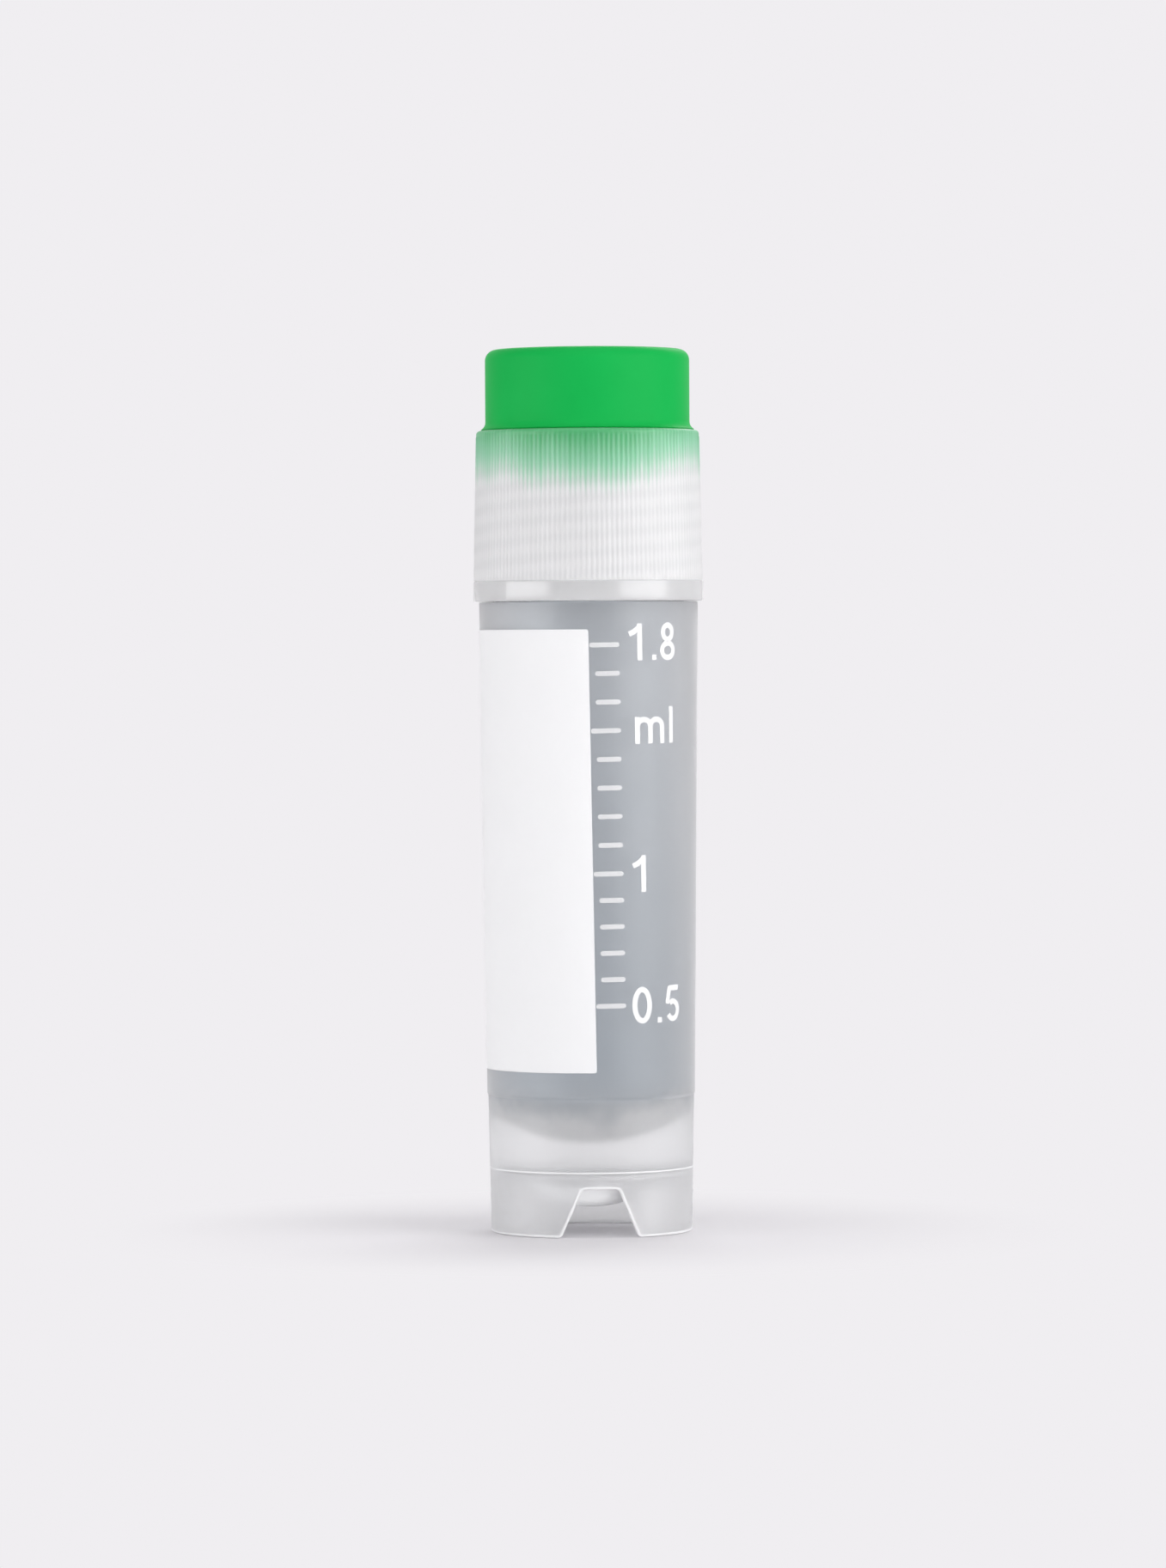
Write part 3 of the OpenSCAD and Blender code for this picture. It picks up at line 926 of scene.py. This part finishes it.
def tube_materials():
    """One for each of the tube's slots, in their order."""
    stem = "natural_polypropylene"
    grey = (rgb(0.555, 0.60, 0.635), rgb(0.615, 0.65, 0.68))
    milky = (rgb(0.885, 0.895, 0.90), rgb(0.955, 0.955, 0.96))
    return [
        polypropylene(stem, *grey, 0.38, 0.90, milky, sheen=0.9),
        polypropylene(stem + "_foot", *grey, 0.30, 0.78, milky, texture=0.4),
        polypropylene(stem + "_bore", rgb(0.71, 0.75, 0.785), rgb(0.77, 0.80, 0.825), 0.24, 0.95),
        # rims and fillets: pale and nearly opaque, a painted highlight along the edges
        polypropylene(stem + "_rim", rgb(0.95, 0.955, 0.96), rgb(0.98, 0.98, 0.985), 0.35, 0.15),
        polypropylene(stem + "_inside", rgb(0.66, 0.70, 0.73), rgb(0.71, 0.74, 0.765), 0.24, 0.90,
                      milky),
        polypropylene(stem + "_under", rgb(0.76, 0.765, 0.77), rgb(0.83, 0.83, 0.835), 0.3, 0.3),
    ]


# turn runs clockwise from +Y, and the middle of the first crest lies 0.1 of a pitch past +X
RIB_PHASE = -math.pi / 2 + 0.1 * math.tau / RIBS

# heights between which the green comes in, first as a pale tint
PALE_GREEN_Z = (40.1, 42.2)
DEEP_GREEN_Z = (41.7, 43.8)


def ribbed_material():
    """Natural polypropylene over the green insert, whose colour shows through the upper ribs
    down to an uneven edge. The thread shows through the lower ones as soft bands, and the rib
    crests carry painted highlights."""
    n = Nodes(bpy.data.materials.new("natural_polypropylene_ribbed"))
    p = n.position()
    z = n.height_mm(p)
    split = n.split(p)
    turn = n.math("ARCTAN2", split["X"], split["Y"])
    # light and shade of the ribs, painted: paler on each crest, darker in each groove
    painted_crest_light = n.math("COSINE", n.math("MULTIPLY", n.sum(turn, RIB_PHASE), RIBS))

    # height, shifted by all that makes the green's edge uneven, and by the rib crests, which paint
    # light and shade onto the ribs in the green
    lobes = n.math("COSINE", n.sum(n.math("MULTIPLY", turn, 3.0), -0.2))
    swell = n.math("MULTIPLY", n.math("SINE", turn), -0.2)
    ragged = n.remap(n.noise(n.scaled(p, 420.0, 420.0, 60.0), 1.0, 2.0), 0.3, 0.7, -0.2, 0.2)
    drips = n.remap(n.noise(n.scaled(p, 3200.0, 3200.0, 90.0), 1.0, 1.0), 0.3, 0.7, -0.16, 0.16)
    lobed = n.sum(n.math("MULTIPLY", painted_crest_light, -0.2), n.math("MULTIPLY", lobes, -0.42), swell, drips)
    shifted = n.sum(z, n.sum(ragged, lobed))

    # white and clouded, paler on the rib crests as a painted highlight (painted shade in the
    # grooves), and paler over the thread's ridges
    climb = n.math("MULTIPLY", n.math("ARCTAN2", split["Y"], split["X"]), -LEAD / math.tau)
    threads = n.math("COSINE", n.math("MULTIPLY", n.sum(z, climb), math.tau / PITCH))
    milky = n.sum(n.math("MULTIPLY", threads, 0.3), n.math("MULTIPLY", painted_crest_light, 0.45),
                  n.noise(p, 420.0, 3.0))
    colour = n.mix(milky, rgb(0.86, 0.865, 0.87), rgb(0.965, 0.965, 0.97))
    colour = n.mix(n.remap(shifted, *PALE_GREEN_Z, 0.0, 1.0), colour, rgb(0.34, 0.74, 0.49))
    colour = n.mix(n.remap(shifted, *DEEP_GREEN_Z, 0.0, 1.0), colour, rgb(0.10, 0.54, 0.215))
    n.principled(Base_Color=colour, Roughness=0.42, IOR=POLYPROPYLENE_IOR,
                 Transmission_Weight=0.25, Subsurface_Weight=0.7,
                 Subsurface_Radius=(1.0, 1.0, 1.0), Subsurface_Scale=RIB_BLUR,
                 Normal=n.bump(n.noise(p, 3000.0, 2.0), GRAIN_DEPTH, 0.4))
    return n.owner


def cap_materials():
    """One for each of the cap shell's slots, in their order."""
    return [ribbed_material(),
            polypropylene("natural_polypropylene_ring", rgb(0.915, 0.92, 0.925),
                          rgb(0.96, 0.96, 0.965), 0.18, 0.52, texture=0.3, gloss=0.95)]


def insert_material():
    n = Nodes(bpy.data.materials.new("green_polypropylene"))
    p = n.position()
    colour = n.mix(n.noise(p, 300.0, 2.0), rgb(0.007, 0.41, 0.070), rgb(0.011, 0.46, 0.084))
    n.principled(Base_Color=colour, Roughness=0.45, IOR=POLYPROPYLENE_IOR,
                 Specular_IOR_Level=0.05,
                 Normal=n.bump(n.noise(p, 6000.0, 2.0), FINE_GRAIN_DEPTH, 0.5))
    return n.owner


def washer_material():
    n = Nodes(bpy.data.materials.new("white_silicone"))
    p = n.position()
    colour = n.mix(n.noise(p, 500.0, 2.0), rgb(0.78, 0.78, 0.76), rgb(0.85, 0.85, 0.83))
    n.principled(Base_Color=colour, Roughness=0.55, IOR=1.41,
                 Normal=n.bump(n.noise(p, 4000.0), GRAIN_DEPTH, 0.4))
    return n.owner


def ink_material(name, dark, light, passing=0.0):
    """White ink. passing is the share of it that lets light through, so that a large field
    isn't dark from behind."""
    n = Nodes(bpy.data.materials.new(name))
    p = n.position()
    colour = n.mix(n.noise(p, 700.0, 4.0), dark, light)
    n.principled(Base_Color=colour, Roughness=0.62, IOR=1.45, Subsurface_Weight=passing,
                 Subsurface_Radius=(1.0, 1.0, 1.0), Subsurface_Scale=INK_BLUR,
                 Normal=n.bump(n.noise(p, 9000.0, 3.0), INK_GRAIN_DEPTH, 0.6))
    return n.owner


BACKDROP = rgb(0.871, 0.855, 0.879)
BACKDROP_THROUGH = rgb(0.99, 0.972, 1.0)
FLOOR_PAINT = 0.99
SHADED_REACH = 9.0
EVEN_REACH = 28.0


def stage_material():
    """Pale floor: diffuse paint that takes the shadow near the part, and further out only the
    backdrop's colour. That colour is for what is seen, directly or in the part, and never
    lights it."""
    n = Nodes(bpy.data.materials.new("pale_stage"))
    path = n.add("ShaderNodeLightPath").outputs
    mirrored = n.math("MAXIMUM", path["Is Camera Ray"], path["Is Glossy Ray"])
    seen = n.math("MAXIMUM", mirrored, path["Is Transmission Ray"])
    flat = n.scaled(n.position(), 1.0, 1.0, 0.0)
    away = n.add("ShaderNodeVectorMath", operation="LENGTH", in0=flat).outputs["Value"]
    even = n.remap(away, SHADED_REACH * MM, EVEN_REACH * MM, 0.0, 1.0)
    paint = rgb(*(c * FLOOR_PAINT for c in BACKDROP[:3]))
    painted = n.add("ShaderNodeBsdfDiffuse", Color=paint).outputs[0]
    glow = n.add("ShaderNodeEmission", Color=BACKDROP, Strength=1.0).outputs[0]
    mixed = n.add("ShaderNodeMixShader", in0=n.math("MULTIPLY", seen, even), in1=painted,
                  in2=glow)
    n.link(mixed.outputs[0], n.output.inputs[0])
    return n.owner


# ---------------------------------------------------------------- the pieces
def dress(piece, materials, body, slot, *nodes):
    """Give a piece its materials, its body and the CAD nodes it replaces. slot is not used."""
    indices = [polygon.material_index for polygon in piece.data.polygons]
    piece.data.materials.clear()
    for material in materials:
        piece.data.materials.append(material)
    for polygon, index in zip(piece.data.polygons, indices):
        polygon.material_index = index
    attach(piece, body)
    if nodes:
        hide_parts(*nodes)


dress(make_tube(), tube_materials(), "vial", "tube", "vial_tube")
dress(make_cap_shell(), cap_materials(), "cap", "cap", "cap_shell")
dress(make_insert(), [insert_material()], "cap", "insert", "cap_insert")

ink = ink_material("white_print", rgb(0.87, 0.875, 0.88), rgb(0.915, 0.92, 0.925))
patch_ink = ink_material("white_patch", rgb(0.955, 0.96, 0.965), rgb(0.99, 0.993, 0.997),
                         passing=0.3)
thin_ink = ink_material("white_print_thin", rgb(0.66, 0.67, 0.68), rgb(0.76, 0.765, 0.77))
mark_outlines, mark_heights = all_marks()
dress(ink_object("patch_skin", [patch_rows()], lean=0.0), [patch_ink], "vial", "ink",
      "writing_patch")
dress(ink_object("scale_marks", mark_outlines), [thin_ink], "vial", "ink", "graduation_marks")
dress(make_numbers(mark_heights), [ink], "vial", "ink")

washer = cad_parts["seal_washer"]
washer.data.materials.clear()
washer.data.materials.append(washer_material())


# ---------------------------------------------------------------- stage, light and camera
FLOOR_COLUMNS = 48
FLOOR_ROWS = 24
FLOOR_START_R = 4.0
FLOOR_GROWTH = 1.35
FLOOR_DROP = 0.02


def make_floor():
    """A round sheet under the part, large enough to pass for endless."""
    sheet = Lathe(even_angles(FLOOR_COLUMNS))
    sheet.plain(0.0, -FLOOR_DROP)
    for i in range(FLOOR_ROWS):
        sheet.plain(FLOOR_START_R * FLOOR_GROWTH ** i, -FLOOR_DROP)
    floor = sheet.build("floor", sharp=50.0)
    floor.data.materials.append(stage_material())


def softbox(name, place, aim, width, height, power):
    """A rectangular lamp at a place, turned to its aim, of a power in watts. It isn't seen."""
    light = bpy.data.lights.new(name, "AREA")
    light.shape = "RECTANGLE"
    light.size = width * MM
    light.size_y = height * MM
    light.energy = power
    lamp = bpy.data.objects.new(name, light)
    lamp.location = Vector(place) * MM
    to_aim = Vector(aim) * MM - lamp.location
    lamp.rotation_euler = to_aim.to_track_quat("-Z", "Y").to_euler()
    lamp.visible_camera = False
    bpy.context.scene.collection.objects.link(lamp)


CAMERA_PLACE = (0.35, -375.0, 32.3)
CAMERA_AIM = (-0.35, 0.0, 24.3)
CAMERA_ROLL = -0.33
SENSOR_H = 36.0
LENS = 158.3


def make_camera():
    camera = bpy.data.cameras.new("camera")
    camera.sensor_fit = "VERTICAL"
    camera.sensor_height = SENSOR_H
    camera.lens = LENS
    camera.clip_start = 0.01
    camera.clip_end = 5.0
    holder = bpy.data.objects.new("camera", camera)
    holder.location = [c * MM for c in CAMERA_PLACE]
    look = Vector([c * MM for c in CAMERA_AIM]) - holder.location
    roll = Matrix.Rotation(math.radians(CAMERA_ROLL), 3, "Z")
    turn = look.to_track_quat("-Z", "Y").to_matrix() @ roll
    holder.rotation_euler = turn.to_euler()
    bpy.context.scene.collection.objects.link(holder)
    bpy.context.scene.camera = holder


# how far a direction points along X or Y, from where a level of the world starts to where it
# is full
THROUGH_X = (0.10, 0.55)
GLOSS_Y = (-0.95, -0.45)


def make_world(strength, behind, front):
    """Even pale backdrop for what is seen, and a plain level for what is lit. Through the part
    the backdrop is dimmer straight behind than at the sides, and in its gloss it is dim in
    front."""
    n = Nodes(bpy.data.worlds.new("studio"), "ShaderNodeOutputWorld")
    bpy.context.scene.world = n.owner
    split = n.split(n.add("ShaderNodeTexCoord").outputs["Generated"])
    through = n.remap(n.math("ABSOLUTE", split["X"]), *THROUGH_X, behind, 1.0)
    gloss = n.remap(split["Y"], *GLOSS_Y, front, 1.0)
    path = n.add("ShaderNodeLightPath").outputs
    amount = n.blend(path["Is Glossy Ray"], strength, gloss)
    amount = n.blend(path["Is Transmission Ray"], amount, through)
    amount = n.blend(path["Is Camera Ray"], amount, 1.0)
    colour = n.mix(path["Is Transmission Ray"], BACKDROP, BACKDROP_THROUGH)
    background = n.add("ShaderNodeBackground", Color=colour, Strength=amount)
    n.link(background.outputs[0], n.output.inputs[0])


make_floor()
make_world(strength=0.31, behind=0.545, front=0.10)
MIDDLE = (0, 0, 26)
softbox("right_box", (269, -166, 60), MIDDLE, 325, 300, 1.03)
softbox("left_box", (-284, -129, 60), MIDDLE, 290, 130, 0.40)
softbox("front_box", (-40, -290, 240), MIDDLE, 240, 160, 0.19)
softbox("back_box", (60, 260, 240), MIDDLE, 240, 160, 0.36)
softbox("top_box", (0, 30, 520), (0, 0, 0), 520, 520, 0.7)
make_camera()
bpy.context.scene.view_settings.view_transform = "Standard"
